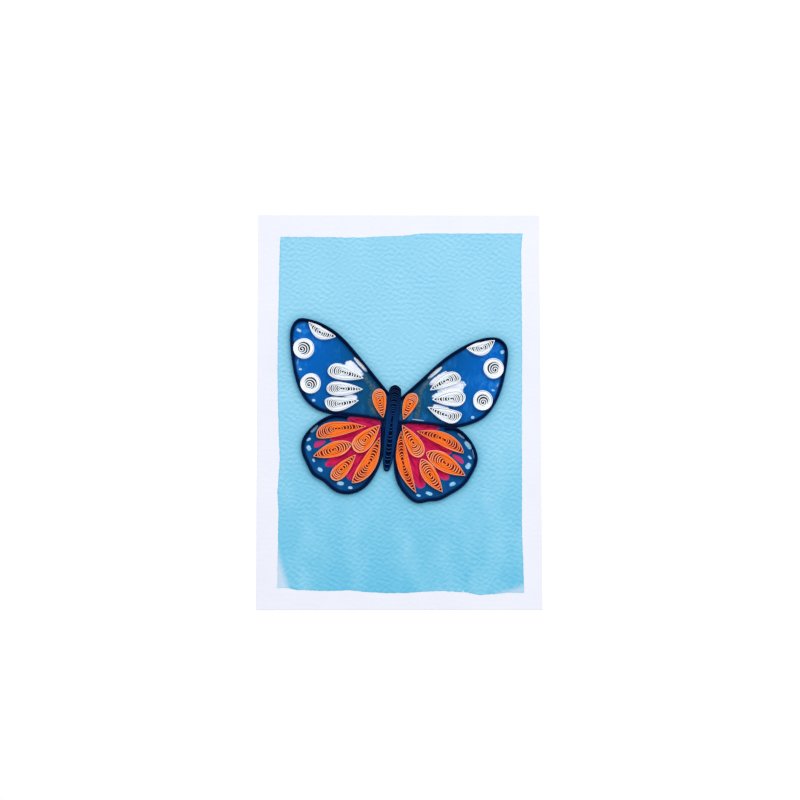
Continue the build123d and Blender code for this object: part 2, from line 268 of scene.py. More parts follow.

# A painted shadow of the rims darkens the sky round the wings. The wings' outlines come first: the
# inner faces of the navy rims, drawn anticlockwise in millimetres, and the way back that closes each
# wing.
rim_thickness = 0.8
paint_overrun = 0.3
wing_lines = {
    "forewing_left": [
        (-4.6, 6.4), (-11.0, 14.3), (-21.2, 26.9), (-28.0, 33.9), (-34.7, 38.1), (-41.1, 40.2),
        (-44.9, 40.2), (-47.2, 37.5), (-47.9, 32.0), (-47.0, 22.4), (-45.0, 13.0), (-42.7, 7.5),
        (-38.9, 2.9), (-34.0, 0.2), (-26.3, -1.2), (-16.4, -2.4), (-5.0, -4.3),
    ],
    "forewing_right": [
        (-1.5, -5.2), (14.1, -5.9), (24.9, -6.8), (32.2, -5.2), (37.7, -2.3), (40.9, 1.3),
        (44.5, 8.5), (46.4, 15.4), (47.8, 23.9), (47.4, 28.5), (44.8, 31.2), (41.0, 31.8),
        (34.4, 30.3), (27.6, 27.0), (21.4, 22.9), (11.2, 13.8), (0.6, 4.4),
    ],
    "hindwing_left": [
        (-23.0, -3.6), (-28.6, -2.9), (-34.5, -5.2), (-39.9, -9.8), (-42.5, -14.4), (-42.5, -18.5),
        (-39.9, -24.6), (-37.7, -28.4), (-33.4, -31.1), (-29.6, -34.5), (-26.4, -36.2), (-22.1, -36.6),
        (-16.3, -34.2), (-11.2, -27.7), (-8.5, -20.8), (-7.7, -13.0), (-7.7, -4.0),
    ],
    "hindwing_right": [
        (0.8, -5.0), (-0.5, -12.8), (-1.3, -18.3), (-1.4, -24.9), (0.2, -32.5), (4.0, -37.9),
        (8.6, -40.7), (12.4, -40.0), (17.2, -39.5), (21.8, -37.3), (27.6, -33.6), (32.2, -27.2),
        (34.0, -22.0), (33.1, -17.7), (29.3, -11.9), (25.4, -9.0), (20.5, -8.6),
    ],
}
ways_back = {
    "forewing_left": [(-3.2, -3.5)],
    "forewing_right": [(-3.2, -3.5)],
    "hindwing_left": [(-4.0, -5.0), (-5.0, -2.0), (-22.0, 1.0)],
    "hindwing_right": [(20.0, -4.0), (2.0, -3.0), (-3.0, -5.0)],
}
rim_samples = 260


def smooth_line(points, samples):
    """A natural cubic spline through points, spaced by their chords: its places and headings."""
    points = np.array(points, float)
    knots = np.append(0, np.cumsum(np.hypot(*np.diff(points, axis=0).T)))
    gaps = np.diff(knots)
    count = len(points)
    system = np.eye(count)
    target = np.zeros((count, 2))
    inner = np.arange(1, count - 1)
    system[inner, inner - 1] = gaps[:-1]
    system[inner, inner] = 2 * (gaps[:-1] + gaps[1:])
    system[inner, inner + 1] = gaps[1:]
    slopes = np.diff(points, axis=0) / gaps[:, None]
    target[inner] = 6 * np.diff(slopes, axis=0)
    bend = np.linalg.solve(system, target)
    t = np.linspace(0, knots[-1], samples)
    span = np.clip(np.searchsorted(knots, t, side="right") - 1, 0, count - 2)
    gap = gaps[span][:, None]
    before = ((t - knots[span]) / gaps[span])[:, None]
    after = 1 - before
    places = (
        after * points[span] + before * points[span + 1]
        + gap ** 2 / 6 * ((after ** 3 - after) * bend[span] + (before ** 3 - before) * bend[span + 1])
    )
    headings = (
        (points[span + 1] - points[span]) / gap
        + gap / 6 * ((1 - 3 * after ** 2) * bend[span] + (3 * before ** 2 - 1) * bend[span + 1])
    )
    return places, headings / np.hypot(*headings.T)[:, None]


def wing_line(wing, reach):
    """A wing's outline, moved square to itself and outwards by a reach."""
    places, headings = smooth_line(wing_lines[wing], rim_samples)
    return places + reach * np.column_stack([headings[:, 1], -headings[:, 0]])


def distance_to(x, y, line):
    """Distance from each place to the nearest point of a line."""
    nearest = np.full(x.shape, np.inf)
    for px, py in line:
        nearest = np.minimum(nearest, (x - px) ** 2 + (y - py) ** 2)
    return np.sqrt(nearest)


from_wings = np.minimum.reduce([
    distance_to(sky_x, sky_y, wing_line(wing, rim_thickness)[::3]) for wing in wing_lines
])

# Gouache dries dull, in streaks that follow the brush, here mostly down the card.
sky_paint, shader, place = matt("sky_blue_gouache", 0.8, 0.1)
streak_place = add_node(sky_paint, "ShaderNodeMapping", {"Vector": place, "Scale": (1.0, 0.5, 1.0)})
streaks = add_node(
    sky_paint, "ShaderNodeTexNoise",
    {"Vector": streak_place.outputs["Vector"], "Scale": 1 / (16 * mm), "Detail": 3.0, "Roughness": 0.6},
)
height = add_node(sky_paint, "ShaderNodeSeparateXYZ", {"Vector": place})
hollow, halo, worn = (
    add_node(sky_paint, "ShaderNodeAttribute", attribute_name=label).outputs["Fac"]
    for label in ("hollow", "halo", "worn")
)
# Lighter towards the top: in part the wash's own tone, in part painted light falling off towards the
# bottom of the card.
colour = lay_coats(sky_paint, linear("#70C4E4"), [
    (height.outputs["Y"], sky_low[1] * mm, 8 * mm, 1.0, "#9AD6F0"),
    (streaks.outputs["Fac"], 0.42, 0.7, 0.5, "#A4DDF4"),
])
colour = lay_coats(sky_paint, colour, [(hollow, 0.0, 1.0, 1.0, "#DCECF2")], blend="MULTIPLY")
# Teal coat: painted shadow of the rims round the wings, and gouache pooled along the sky's sides; then
# the worn corners.
colour = lay_coats(sky_paint, colour, [
    (halo, 0.0, 1.0, 1.0, "#4AA8C8"), (worn, 0.0, 1.0, 1.0, "#CBDAEE"),
])
paper_face(sky_paint, shader, place, colour, grain=1.4, depth=0.10)


def worn_corner(from_side, height, width, fade, curve):
    """How worn the sky is near a lower corner, from 0 to 1: a wedge of a width at the bottom
    that narrows to nothing at a height, and thins out inwards over a fading distance."""
    above = np.clip(1 - (sky_y - sky_low[1]) / height, 0, 1)
    return np.clip(1.3 * (above ** curve * width - from_side) / fade, 0, 1)


worn_left = worn_corner(sky_x - west, height=26, width=7.5, fade=4, curve=1.2)
worn_right = worn_corner(east - sky_x, height=5, width=16.0, fade=9, curve=1.0)
# Painted shadow of the rims, fading out about two millimetres from the wings.
wing_halo = 0.6 * np.exp(-(from_wings / halo_width) ** 1.5)
pooled_side = 0.35 * np.clip(1.2 - 2 * inset, 0, 1)
sky = make_sheet(
    "brushed_sky", sky_x, sky_y, sky_top, sky_bottom,
    halo=np.maximum(wing_halo, pooled_side),
    hollow=1 - tooth(sky_x, sky_y),
    worn=np.maximum(0.8 * worn_left, 0.6 * worn_right),
)
finish_piece(sky, sky_paint, "sky_paint", "sky_paint")

# Wing paint: blue gouache under the whole of each wing, bright and flecked at the outer part,
# deeper and greener towards the body with specks of an old gold showing, deeper also along the
# forewings' upper rims, and navy along every rim.
wing_face = np.array(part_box("forewing_left_paint")[1])[2] / mm
wing_centres = {
    "forewing_left": (-28.0, 16.0), "forewing_right": (27.0, 11.0),
    "hindwing_left": (-24.0, -18.0), "hindwing_right": (14.0, -20.0),
}
navy_margin = 1.0
body_middle = (-3.2, -2.0)
wing_reach = 55
paint_foot = 0.45
tooth_shown = 0.6
hindwing_drop = 0.02
upper_rim_samples = 110
upper_rim_shade = 16.0
upper_rim_fade = 6.0
speck_fade = 2.1
speck_lines = {
    "forewing_left": [(-16.2, 15.9), (-11.2, 9.6), (-13.0, 4.6), (-11.2, -0.8)],
    "forewing_right": [(8.0, -3.0), (9.4, 8.2), (11.2, 11.0), (13.8, 13.7)],
}


def make_patch(outline, centre, rings, height, bottom):
    """Points, quads and ngons of a closed patch of paint: an outline drawn smaller about a
    centre ring by ring, each ring at its height, over straight sides and a flat bottom."""
    centre = np.array(centre)
    places = centre + rings[:, None, None] * (outline - centre)
    flat = places.reshape(-1, 2)
    shares = np.repeat(rings, len(outline))
    top = np.column_stack([flat, height(flat[:, 0], flat[:, 1], shares)])
    foot = np.column_stack([outline, np.full(len(outline), bottom)])
    quads = quad_grid(len(rings) + 1, len(outline), True)
    last = len(rings) * len(outline) + np.arange(len(outline))
    return np.vstack([foot, top]), quads, [np.arange(len(outline)), last]


def even_outline(line, samples):
    """A closed line of straight parts, with its points spaced evenly."""
    closed = np.vstack([line, line[:1]])
    run = np.append(0, np.cumsum(np.hypot(*np.diff(closed, axis=0).T)))
    t = np.linspace(0, run[-1], samples, endpoint=False)
    return np.column_stack([np.interp(t, run, closed[:, 0]), np.interp(t, run, closed[:, 1])])


def wing_material(name, near, middle, far, streak):
    """Gouache that changes from the body outwards, with brush streaks, light flecks on the
    outer part, old gold specks near the body and a navy margin."""
    material, shader, place = matt(name, 0.7, 0.04)
    reach, speck_mask, margin = (
        add_node(material, "ShaderNodeAttribute", attribute_name=label).outputs["Fac"]
        for label in ("reach", "specks", "margin")
    )
    outward = add_node(
        material, "ShaderNodeMapRange", {"Value": reach, "From Min": 0.5, "From Max": 0.85},
    ).outputs["Result"]
    turned = add_node(material, "ShaderNodeMapping", {"Vector": place, "Scale": (1.0, 0.4, 1.0)})
    brush, fleck_noise, speck_noise = (
        add_node(
            material, "ShaderNodeTexNoise",
            {"Vector": vector, "Scale": 1 / (size * mm), "Detail": detail, "Roughness": roughness},
        ).outputs["Fac"]
        for vector, size, detail, roughness in (
            (turned.outputs["Vector"], 3.5, 5.0, 0.65), (place, 2.6, 2.0, 0.5), (place, 1.1, 5.0, 0.7),
        )
    )
    flecks, specks = (
        add_node(material, "ShaderNodeMath", {0: mask, 1: noise}, operation="MULTIPLY").outputs["Value"]
        for mask, noise in ((outward, fleck_noise), (speck_mask, speck_noise))
    )
    colour = lay_coats(material, linear(near), [
        (reach, 0.15, 0.5, 1.0, middle), (outward, 0.0, 1.0, 1.0, far), (brush, 0.52, 0.8, 0.8, streak),
        (flecks, 0.48, 0.62, 0.6, "#2E8ADE"), (specks, 0.36, 0.62, 0.55, "#70806E"),
        (margin, 0.0, 1.0, 1.0, "#041640"),
    ])
    paper_face(material, shader, place, colour, grain=0.5, depth=0.03)
    return material


forewing_paint = wing_material("royal_blue_gouache", "#0A4A70", "#02559C", "#0262BC", "#2480D8")
hindwing_paint = wing_material("deep_blue_gouache", "#044482", "#064A86", "#06508F", "#1462A8")
wing_rings = np.append(np.linspace(1, 0.1, 34), 0.04)
for wing, centre in wing_centres.items():
    drop = hindwing_drop if wing.startswith("hindwing") else 0.0
    edge = wing_line(wing, rim_thickness + paint_overrun)
    outline = even_outline(np.vstack([edge, ways_back[wing]]), 300)
    points, quads, ngons = make_patch(
        outline, centre, wing_rings,
        lambda x, y, share: wing_face - drop - tooth_shown * tooth_depth * tooth(x, y), paint_foot,
    )
    x, y = points[:, 0], points[:, 1]
    rim = wing_line(wing, 0)
    from_rim = distance_to(x, y, rim[::2])
    reach = np.hypot(x - body_middle[0], y - body_middle[1])
    if wing.startswith("forewing"):
        upper_rim = rim[:upper_rim_samples] if wing.endswith("left") else rim[-upper_rim_samples:]
        reach -= upper_rim_shade * np.exp(-distance_to(x, y, upper_rim) / upper_rim_fade)
    specks = np.zeros_like(reach)
    if wing in speck_lines:
        line = np.array(speck_lines[wing])
        t = np.linspace(0, len(line) - 1, 40)
        knots = np.arange(len(line))
        swept = np.column_stack([np.interp(t, knots, line[:, 0]), np.interp(t, knots, line[:, 1])])
        specks = np.exp(-(distance_to(x, y, swept) / speck_fade) ** 2)
    paint = make_mesh(
        f"{wing}_gouache", points, quads, ngons,
        reach=reach / wing_reach,
        margin=np.clip(1.6 - from_rim / navy_margin * 1.6, 0, 1),
        specks=specks,
    )
    kind = wing.split("_")[0]
    material = forewing_paint if kind == "forewing" else hindwing_paint
    finish_piece(paint, material, f"{kind}_paint", f"{wing}_paint")

# Strokes and dabs: quick touches of a small brush over the dry blue, rose between the orange
# coils, thin white beside the white ones, and pale blue dabs along the rims. They stand proud
# of the blue by a thin coat that thins out at its edge, streaked along each touch.
stroke_coat = 0.03
stroke_sunk = 0.012
stroke_foot = paint_foot + 0.05
stroke_rings = np.array([1.0, 0.93, 0.82, 0.65, 0.4, 0.15])
streak_stretch = 0.22
dab_power = 2.6
dab_facets = 28
corner_facets = 6
rose_strokes = {
    "left": [
        [
            (-23.6, -3.0), (-17.1, -3.0), (-7.9, -4.2), (-7.9, -8.5), (-13.5, -10.5),
            (-16.5, -9.0), (-22.6, -5.4),
        ],
        [
            (-32.6, -13.4), (-24.0, -8.6), (-12.5, -7.0), (-15.0, -11.5), (-20.5, -16.0),
            (-26.5, -14.8),
        ],
        [
            (-38.1, -16.8), (-37.9, -14.9), (-36.5, -13.7), (-32.6, -13.5), (-33.4, -14.9),
            (-36.2, -16.8),
        ],
        [
            (-33.4, -23.3), (-32.7, -25.5), (-30.4, -25.4), (-24.0, -23.5), (-18.0, -20.0),
            (-19.0, -15.0), (-26.4, -18.8),
        ],
        [
            (-23.6, -30.4), (-20.9, -32.2), (-15.5, -25.0), (-8.5, -12.0), (-19.5, -16.0),
            (-21.5, -22.0), (-24.8, -27.0),
        ],
        [(-8.3, -7.0), (-8.2, -13.0), (-9.5, -17.0), (-13.0, -16.0), (-10.5, -9.5)],
    ],
    "right": [
        [
            (1.4, -5.7), (10.0, -6.2), (18.2, -7.2), (17.8, -8.7), (12.0, -11.6), (8.0, -11.0),
            (4.0, -9.5),
        ],
        [
            (7.5, -9.5), (14.0, -11.6), (24.0, -18.2), (23.0, -20.0), (17.0, -20.4),
            (10.5, -19.0), (8.6, -14.0),
        ],
        [(23.5, -20.6), (24.3, -19.6), (26.8, -20.6), (28.7, -22.5), (28.9, -23.8), (27.8, -24.2)],
        [(7.6, -16.0), (14.0, -18.6), (22.9, -28.7), (21.7, -31.6), (19.0, -31.2), (12.5, -26.0)],
        [
            (1.4, -11.0), (5.0, -16.5), (11.0, -20.5), (12.2, -33.4), (10.1, -35.3),
            (7.4, -34.6), (3.4, -24.0),
        ],
    ],
}
white_strokes = {
    "left": [
        [
            (-25.2, 20.4), (-23.2, 22.6), (-20.6, 22.4), (-17.9, 18.9), (-15.5, 16.6), (-16.8, 15.0),
            (-22.5, 17.0),
        ],
        [(-20.6, 23.5), (-19.7, 24.2), (-16.6, 21.0), (-13.9, 17.8), (-14.7, 17.0), (-17.9, 20.1)],
        [(-26.8, 5.0), (-23.0, 7.3), (-19.0, 7.0), (-18.5, 5.2), (-21.0, 3.2)],
    ],
    "right": [
        [(12.2, 12.0), (20.8, 18.4), (22.4, 16.5), (16.0, 10.6)],
        [(16.0, 7.6), (20.0, 12.6), (27.9, 14.0), (30.6, 11.6), (28.3, 9.6), (29.4, 7.6), (20.4, 6.0)],
        [(14.4, 5.1), (15.0, 7.3), (20.4, 9.2), (20.4, 5.8)],
        [(14.4, 1.0), (15.4, 2.9), (18.0, 2.5), (22.8, 1.2), (22.0, -0.8)],
        [(12.1, 14.3), (18.4, 20.0), (19.9, 19.2), (14.0, 14.1)],
        [(5.2, -4.1), (6.2, -3.8), (11.6, -4.6), (11.0, -4.9)],
    ],
}
stroke_faintness = {
    "forewing_left": [0.0, 0.0, 0.0], "forewing_right": [0.0, 0.0, 0.0, 0.0, 0.15, 0.5],
    "hindwing_left": [0.0, 0.0, 0.7, 0.0, 0.0, 0.0], "hindwing_right": [0.0, 0.0, 0.8, 0.0, 0.0],
}
# Each dab: its place, length, width, angle and faintness.
pale_dabs = {
    "forewing_left": [
        (-44.9, 36.1, 2.3, 1.4, -30, 0.0), (-44.2, 18.5, 1.5, 0.9, 0, 0.0),
        (-38.2, 4.5, 1.6, 1.2, 0, 0.0), (-45.4, 22.0, 2.6, 0.5, 80, 0.6),
    ],
    "forewing_right": [
        (46.4, 26.3, 2.0, 1.6, 25, 0.0), (42.2, 9.0, 1.7, 0.9, -15, 0.0),
        (32.9, -3.2, 1.6, 1.3, 0, 0.0), (44.2, 11.4, 1.8, 0.6, 70, 0.5),
    ],
    "hindwing_left": [
        (-38.0, -8.3, 4.4, 1.7, 45, 0.55), (-40.4, -13.1, 2.1, 1.2, 35, 0.0),
        (-40.3, -17.0, 2.6, 1.9, -60, 0.0), (-38.2, -22.4, 1.7, 1.0, -60, 0.0),
        (-35.3, -26.6, 2.6, 1.7, -35, 0.0), (-26.2, -32.8, 3.1, 1.7, -3, 0.0),
        (-21.8, -34.7, 2.0, 1.2, -5, 0.0),
    ],
    "hindwing_right": [
        (33.1, -19.6, 4.2, 0.5, -78, 0.6), (27.7, -11.6, 3.8, 0.9, -38, 0.6),
        (30.8, -15.7, 4.5, 1.9, -55, 0.0), (31.5, -21.2, 2.0, 1.1, -45, 0.0),
        (30.8, -25.0, 2.9, 2.4, 50, 0.0), (23.7, -33.1, 3.0, 1.7, 25, 0.0),
        (13.3, -37.3, 3.1, 1.6, -20, 0.0), (8.6, -38.2, 2.0, 1.0, -12, 0.0),
    ],
}


def rounded_outline(corners, samples):
    """A closed curve that runs near the corners: each stretch is a quadratic arc from the
    middle of one side to the middle of the next, pulled to the corner between them."""
    corners = np.array(corners, float)
    before = (corners + np.roll(corners, 1, axis=0)) / 2
    after = (corners + np.roll(corners, -1, axis=0)) / 2
    t = np.linspace(0, 1, samples, endpoint=False)[None, :, None]
    arcs = (1 - t) ** 2 * before[:, None] + 2 * t * (1 - t) * corners[:, None] + t ** 2 * after[:, None]
    return arcs.reshape(-1, 2)


def join_shells(shells):
    """Points, quads and ngons of several shells as one, each numbered on from the last."""
    starts = np.cumsum([0] + [len(points) for points, _, _ in shells])
    quads = [quads + start for (_, quads, _), start in zip(shells, starts)]
    ngons = [ngon + start for (_, _, ngons), start in zip(shells, starts) for ngon in ngons]
    return np.vstack([points for points, _, _ in shells]), np.vstack(quads), ngons


def make_strokes(name, outlines, faintness):
    """One piece of several touches of paint, each domed over its outline: full height inside,
    falling as a fourth power to the edge. Each is worn through by its own faintness, and each
    point keeps its place lengthwise and crosswise of its touch, for the streaks."""
    shells = []
    brushed_places = []
    for outline in outlines:
        centre = outline.mean(axis=0)
        shells.append(make_patch(
            outline, centre, stroke_rings,
            lambda x, y, share: wing_face - stroke_sunk + stroke_coat * (1 - share ** 4), stroke_foot,
        ))
        axis = np.linalg.svd(outline - centre, full_matrices=False)[2][0]
        turn = np.column_stack([axis, [-axis[1], axis[0]]])
        brushed_places.append(shells[-1][0][:, :2] @ turn)
    brushed_places = np.vstack(brushed_places)
    ring_shares = np.append(1.0, stroke_rings)
    return make_mesh(
        name, *join_shells(shells),
        worn=np.concatenate([np.repeat(ring_shares, len(outline)) for outline in outlines]),
        faint=np.repeat(faintness, [len(points) for points, _, _ in shells]),
        lengthwise=brushed_places[:, 0], crosswise=brushed_places[:, 1],
    )


def dab_outline(x, y, length, width, angle):
    """A dab of a flat brush: a superellipse of the dab power, turned and set at its place."""
    t = np.linspace(0, 2 * np.pi, dab_facets, endpoint=False)
    u = length / 2 * np.sign(np.cos(t)) * np.abs(np.cos(t)) ** (2 / dab_power)
    v = width / 2 * np.sign(np.sin(t)) * np.abs(np.sin(t)) ** (2 / dab_power)
    c, s = np.cos(np.radians(angle)), np.sin(np.radians(angle))
    return np.column_stack([x + u * c - v * s, y + u * s + v * c])


def stroke_material(name, deep, light, under, grain):
    """Brushed gouache in two tones of streaks that run along each touch, and the coat under it
    where the brush ran dry or was faint. The grain is the streaks' width in millimetres."""
    material, shader, place = matt(name, 0.7, 0.06)
    lengthwise, crosswise, worn, faint = (
        add_node(material, "ShaderNodeAttribute", attribute_name=label).outputs["Fac"]
        for label in ("lengthwise", "crosswise", "worn", "faint")
    )
    touch_place = add_node(material, "ShaderNodeCombineXYZ", {"X": lengthwise, "Y": crosswise})
    drawn_out = add_node(
        material, "ShaderNodeMapping",
        {"Vector": touch_place.outputs["Vector"], "Scale": (streak_stretch, 1.0, 1.0)},
    )
    brush = add_node(
        material, "ShaderNodeTexNoise",
        {"Vector": drawn_out.outputs["Vector"], "Scale": 1 / grain, "Detail": 4.0, "Roughness": 0.6},
    )
    bristle = add_node(
        material, "ShaderNodeTexNoise",
        {"Vector": place, "Scale": 1 / (0.9 * mm), "Detail": 3.0, "Roughness": 0.7},
    )
    dry = add_node(
        material, "ShaderNodeMath", {0: worn, 1: 0.6, 2: bristle.outputs["Fac"]},
        operation="MULTIPLY_ADD",
    )
    bare = add_node(
        material, "ShaderNodeMapRange",
        {"Value": dry.outputs["Value"], "From Min": 0.96, "From Max": 1.16, "To Max": 0.8},
    )
    thin = add_node(
        material, "ShaderNodeMath", {0: bare.outputs["Result"], 1: faint}, operation="MAXIMUM",
    )
    colour = lay_coats(material, linear(deep), [
        (brush.outputs["Fac"], 0.35, 0.65, 1.0, light), (thin.outputs["Value"], 0.0, 1.0, 1.0, under),
    ])
    paper_face(material, shader, place, colour, grain=0.5, depth=0.03)
    return material


rose_paint = stroke_material("rose_gouache", "#8E0440", "#DA2060", "#C43C7C", 1.5)
white_paint = stroke_material("thin_white_gouache", "#D6DFEC", "#FAFBFE", "#4A82BC", 1.6)
dab_paint = stroke_material("pale_blue_gouache", "#7FC4EE", "#B4E8FF", "#1F5A92", 1.2)
for side in ("left", "right"):
    for wing, strokes, material, slot in (
        ("forewing", white_strokes, white_paint, "white_paint"),
        ("hindwing", rose_strokes, rose_paint, "rose_paint"),
    ):
        node = f"{wing}_{side}_strokes"
        outlines = [rounded_outline(corners, corner_facets) for corners in strokes[side]]
        piece = make_strokes(f"{node}_brushed", outlines, stroke_faintness[f"{wing}_{side}"])
        finish_piece(piece, material, slot, node)
        node = f"{wing}_{side}_dabs"
        dabs = pale_dabs[f"{wing}_{side}"]
        piece = make_strokes(
            f"{node}_brushed", [dab_outline(*dab[:5]) for dab in dabs], [dab[5] for dab in dabs],
        )
        finish_piece(piece, dab_paint, "pale_dab_paint", node)

# Body paint: a navy bar brushed on the card under the body coil.
strip_height = 3.0
body_heel = (-5.7, -27.2)
body_tip = (-1.6, 11.0)
body_left = 2.75
body_right = 2.9
body_heel_pinch = 0.3
body_tip_pinch = 0.14
head_radius = 3.6
# How far an end is pinched: not at all, softly, or to a sharp fold.
plain = 0.5
soft = 0.75
sharp = 1.0


def side_share(angle, heel_pinch, tip_pinch):
    """Share of a coil's length at an angle, 1 at angle 0 and 0 at half a turn: the cosine's
    half, with each end's share raised to half over its pinch, so that folds get long facets."""
    share = np.clip((1 + np.cos(angle)) / 2, 0, 1)
    from_heel = share ** (plain / np.maximum(heel_pinch, plain))
    from_tip = (1 - share) ** (plain / np.maximum(tip_pinch, plain))
    return from_heel / (from_heel + from_tip)


def side_profile(share, heel_pinch, tip_pinch):
    """Height of a coil's side at a share u of its length, 1 at its widest place w:
    (u / w) ** a * ((1 - u) / (1 - w)) ** b, with a and b the pinches and w = a / (a + b)."""
    share = np.clip(share, 0, 1)
    widest = heel_pinch / (heel_pinch + tip_pinch)
    return (share / widest) ** heel_pinch * ((1 - share) / (1 - widest)) ** tip_pinch


def rounded_head(from_tip, radius):
    """Share of the full width that a round head leaves at a distance from its tip: a quarter
    of a circle of a radius, and 1 past it."""
    return np.sqrt(1 - np.clip(1 - from_tip / radius, 0, 1) ** 2)


def on_card(places, heel, tip):
    """Places in a coil's own frame, turned and moved to lie from its heel to its tip."""
    heel, tip = np.array(heel, float), np.array(tip, float)
    along = (tip - heel) / np.hypot(*(tip - heel))
    return heel + places[:, :1] * along + places[:, 1:] * np.array([-along[1], along[0]])


def body_outline(reach, samples):
    """The body coil's outline, moved outwards by a reach."""
    angle = 2 * np.pi * np.arange(samples) / samples
    length = np.hypot(*np.subtract(body_tip, body_heel)) + 2 * reach
    share = side_share(angle, body_heel_pinch, body_tip_pinch)
    height = side_profile(share, body_heel_pinch, body_tip_pinch)
    height = np.minimum(height, rounded_head((1 - share) * length, head_radius))
    height *= np.where(np.sin(angle) > 0, body_left + reach, -body_right - reach)
    return on_card(np.column_stack([share * length - reach, height]), body_heel, body_tip)


navy_paint = stroke_material("navy_gouache", "#081A40", "#0C2552", "#0A2A5C", 2.0)
points, quads, ngons = make_patch(
    body_outline(paint_overrun, 96), np.array([-3.6, -8.0]), np.array([1.0, 0.8, 0.5, 0.2]),
    lambda x, y, share: wing_face - 0.3 * tooth_depth * tooth(x, y), paint_foot,
)
body_paint = make_mesh(
    "body_gouache", points, quads, ngons, lengthwise=points[:, 1], crosswise=points[:, 0],
)
finish_piece(body_paint, navy_paint, "navy_paint", "body_paint")

# Rims: two plies of navy quilling strip, glued face to face and stood on edge round each wing.
# The forewings' run on to the body between the wings, and the hindwings' end against them.
ply_thickness = 0.36
rim_end_gap = 0.2
edge_chamfer = 0.05
strip_sunk = 0.04
strip_top = wing_face + strip_height


def strip_mesh(path, thickness, bottom, top, chamfer):
    """Points, quads and ngons of a strip on edge: a six-cornered section, its top edges
    chamfered, carried along a path and mitred square to it, with both ends capped."""
    step = np.diff(path, axis=0)
    step /= np.hypot(*step.T)[:, None]
    before = np.vstack([step[:1], step])
    after = np.vstack([step, step[-1:]])
    bend = 1 + np.sum(before * after, axis=1)
    across = np.column_stack([-before[:, 1] - after[:, 1], before[:, 0] + after[:, 0]]) / bend[:, None]
    half = np.broadcast_to(thickness, len(path)) / 2
    ridge = np.maximum(half - chamfer, 0.3 * half)
    sides = np.column_stack([-half, -half, -ridge, ridge, half, half])
    top = np.broadcast_to(top, len(path))
    flat = path[:, None] + sides[..., None] * across[:, None]
    lift = np.column_stack([
        np.full(len(path), bottom), top - chamfer, top, top, top - chamfer, np.full(len(path), bottom),
    ])
    points = np.dstack([flat, lift[..., None]]).reshape(-1, 3)
    last = len(points) - 6 + np.arange(6)
    return points, quad_grid(len(path), 6, True), [np.arange(6), last]


def inside(places, outline):
    """Whether each place is inside a closed outline, by counting the sides left of it."""
    x, y = places[:, :1], places[:, 1:]
    x0, y0 = outline.T
    x1, y1 = np.roll(outline, -1, axis=0).T
    spans = (y0 > y) != (y1 > y)
    crossing = x0 + (y - y0) * (x1 - x0) / np.where(y1 == y0, 1, y1 - y0)
    return np.sum(spans & (x < crossing), axis=1) % 2 == 1


def strip_material(name, face, deep, foot, edge, edge_open):
    """Dyed quilling paper: dull coloured faces, painted shade on a coil's inner turns and as a dark
    film in its gaps, whose tone also darkens the body's head as painted shade, and cut edges where
    lighter fibres show, most where the turns stand apart."""
    material, shader, place = matt(name, 0.75, 0.05)
    normal = add_node(material, "ShaderNodeTexCoord").outputs["Normal"]
    upward = add_node(material, "ShaderNodeSeparateXYZ", {"Vector": normal})
    on_edge = add_node(
        material, "ShaderNodeMapRange",
        {"Value": upward.outputs["Z"], "From Min": 0.3, "From Max": 0.8},
    ).outputs["Result"]
    apart, inner, dark = (
        add_node(material, "ShaderNodeAttribute", attribute_name=label).outputs["Fac"]
        for label in ("apart", "inner", "dark")
    )
    edge_colour = lay_coats(material, linear(edge), [(apart, 0.0, 1.0, 1.0, edge_open)])
    # Inner turns' faces take the deep colour: painted shade in the depths of a coil.
    face_colour = lay_coats(material, linear(face), [(inner, 0.0, 1.0, 1.0, deep)])
    paper = add_node(
        material, "ShaderNodeMix", {0: on_edge, 6: face_colour, 7: edge_colour}, data_type="RGBA",
    )
    # The foot colour is painted shade: the dark film in a coil's gaps, and the body's darker head.
    colour = lay_coats(material, paper.outputs[2], [(dark, 0.0, 1.0, 1.0, foot)])
    paper_face(material, shader, place, colour, grain=0.3, depth=0.01)
    return material


# Colours in turn: face; painted shade of inner turns; painted shade of the foot film; cut edge; cut
# edge where turns stand apart.
navy_strip = strip_material(
    "navy_quilling_paper", "#020B2A", "#010616", "#01040E", "#020F38", "#031640",
)
body_clear = body_outline(rim_end_gap, 96)
forewing_clear = [
    np.vstack([wing_line(wing, rim_thickness + rim_end_gap), ways_back[wing]])
    for wing in ("forewing_left", "forewing_right")
]
for wing in wing_lines:
    middle_line = wing_line(wing, rim_thickness / 2)
    hidden = inside(middle_line, body_clear)
    if wing.startswith("hindwing"):
        for outline in forewing_clear:
            hidden |= inside(middle_line, outline)
    plies = []
    for number, offset in enumerate((ply_thickness / 2, rim_thickness - ply_thickness / 2)):
        path = wing_line(wing, offset)[~hidden]
        run = np.append(0, np.cumsum(np.hypot(*np.diff(path, axis=0).T)))
        wave = 0.03 * np.sin(run / 4.1 + 2 * number) + 0.02 * np.sin(run / 1.7 + number)
        plies.append(strip_mesh(
            path, ply_thickness, wing_face - strip_sunk, strip_top - 0.06 + wave, edge_chamfer,
        ))
    points, quads, ngons = join_shells(plies)
    piece = make_mesh(f"{wing}_strip", points, quads, ngons, apart=np.ones(len(points)))
    finish_piece(piece, navy_strip, "navy_strip", f"{wing}_rim")

# Coils: strip wound on a slotted needle, let loose, then pinched at one end or both and stood
# on edge in glue. Pressed turns lie close along the sides and stand apart towards the ends.
# Real turns are too fine to show, so each wall drawn stands for one or two that lie together.
coil_facets = 72
coil_chamfer = 0.01
outline_end = 0.75
torn_end = 0.1
end_gap = 0.6
eye_reach = 0.95
